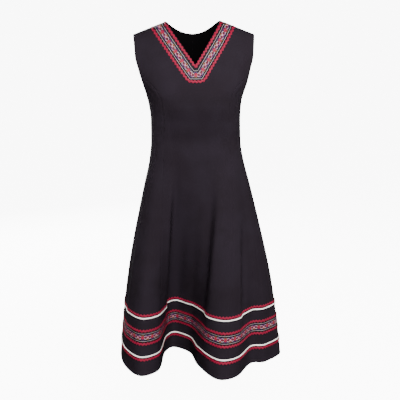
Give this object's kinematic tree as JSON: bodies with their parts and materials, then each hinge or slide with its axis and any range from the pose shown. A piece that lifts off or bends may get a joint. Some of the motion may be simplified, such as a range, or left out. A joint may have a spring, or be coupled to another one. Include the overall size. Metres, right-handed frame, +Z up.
{
  "type": "sleeveless pinafore dress",
  "caption": "Sleeveless V-neck pinafore dress with princess seams and a folded, flared skirt, edged with patterned ribbon, scalloped braid and piping at neck and hem.",
  "frame": {"origin": "between the shoulder seams, at their middle height, where the wearer's shoulders carry the dress", "axes": "+Z up, the front faces -Y, +X towards the wearer's left"},
  "size_m": [0.557, 0.4782, 1.1311],
  "materials": {
    "cloth": "smooth black crepe with a faint sheen",
    "braid": "crimson scalloped braid",
    "ribbon": "woven ribbon with red flowers and pale leaves on black",
    "piping": "white satin piping"
  },
  "bodies": {
    "root": {"front_centre": "cloth", "front_side_left": "cloth", "front_side_right": "cloth", "back_centre_left": "cloth", "back_centre_right": "cloth", "back_side_left": "cloth", "back_side_right": "cloth", "neck_braid_inner": "braid", "neck_ribbon": "ribbon", "neck_braid_outer": "braid", "hem_braid_high": "braid", "hem_piping_high": "piping", "hem_ribbon_braid_high": "braid", "hem_ribbon": "ribbon", "hem_ribbon_braid_low": "braid", "hem_piping_low": "piping", "hem_braid_low": "braid"}
  },
  "joints": []
}
